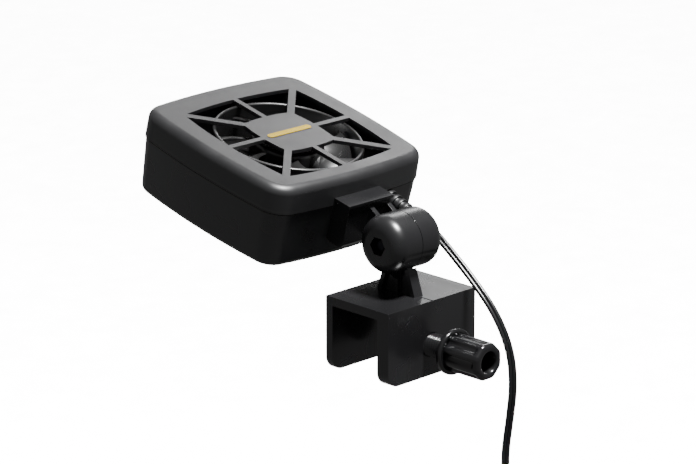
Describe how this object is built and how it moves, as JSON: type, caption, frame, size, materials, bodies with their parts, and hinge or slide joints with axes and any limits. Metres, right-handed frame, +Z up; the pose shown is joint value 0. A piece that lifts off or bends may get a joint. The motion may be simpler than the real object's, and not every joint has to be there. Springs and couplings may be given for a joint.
{
  "type": "clip-on aquarium cooling fan",
  "caption": "Clip-on cooling fan for an aquarium: square fan head with a spoked grille on a tilting knuckle over a small screw clamp, thin lead with its spare length coiled.",
  "frame": {"origin": "glass seat: underside of the clamp's bridge, midway along it and midway across its gap", "axes": "+X along the glass rim, +Y over the water from the thumbscrew towards the fan head, +Z up"},
  "size_m": [0.0716, 0.1317, 0.2124],
  "materials": {
    "cover_abs": "satin",
    "housing_abs": "satin",
    "clamp_abs": "semi-gloss",
    "knob_abs": "gloss",
    "fan_plastic": "satin",
    "pad_rubber": "matte",
    "gold_foil": "satin",
    "zinc_steel": "satin",
    "black_steel": "satin",
    "shaft_steel": "polished",
    "electrical_steel": "satin",
    "copper_wire": "satin",
    "ferrite": "matte",
    "bronze": "satin",
    "board_laminate": "satin",
    "lead_pvc": "satin",
    "plug_pvc": "satin",
    "tie_nylon": "satin",
    "nickel": "polished",
    "insulator_plastic": "satin"
  },
  "bodies": {
    "clamp": {"clamp_body": "clamp_abs", "friction_washer": "insulator_plastic", "pivot_bolt": "black_steel", "pivot_nut": "black_steel", "cord_lead": "lead_pvc", "cord_coil": "lead_pvc", "coil_tie": "tie_nylon", "cord_tail": "lead_pvc", "plug_body": "plug_pvc", "plug_sleeve": "nickel", "plug_insulator": "insulator_plastic", "plug_contact": "nickel"},
    "head": {"top_cover": "cover_abs", "trim_bar": "gold_foil", "lower_housing": "housing_abs", "shell_screws": "zinc_steel", "fan_duct": "fan_plastic", "duct_screws": "zinc_steel", "sleeve_bearing": "bronze", "circuit_board": "board_laminate", "stator_core": "electrical_steel", "stator_coils": "copper_wire", "tilt_bracket": "clamp_abs", "bracket_screws": "zinc_steel", "strain_relief": "lead_pvc", "inner_lead": "lead_pvc"},
    "rotor": {"impeller": "fan_plastic", "rotor_yoke": "zinc_steel", "magnet_ring": "ferrite", "rotor_shaft": "shaft_steel", "shaft_clip": "insulator_plastic"},
    "pad": {"pressure_pad": "pad_rubber"},
    "screw": {"thumbscrew": "knob_abs"}
  },
  "joints": [
    {"name": "head_tilt", "type": "hinge", "parent": "clamp", "child": "head", "pos_m": [0, -0.001, 0.0202], "axis": [1, 0, 0], "range_deg": [-36, 75], "deforming": ["cord_lead"]},
    {"name": "rotor_spin", "type": "hinge", "parent": "head", "child": "rotor", "pos_m": [0, 0.05254, 0.03584], "axis": [0, -0.2284, 0.9736], "continuous": true},
    {"name": "screw_travel", "type": "slide", "parent": "clamp", "child": "pad", "axis": [0, 1, 0], "range_m": [-0.01, 0.0058]},
    {"name": "thumbscrew_turn", "type": "hinge", "parent": "pad", "child": "screw", "pos_m": [0, -0.02, -0.01175], "axis": [0, 1, 0], "range_deg": [-3600.3, 2088.3]}
  ],
  "couplings": [
    {"joint": "thumbscrew_turn", "follows": "screw_travel", "rad_per_m": 6283.2}
  ]
}
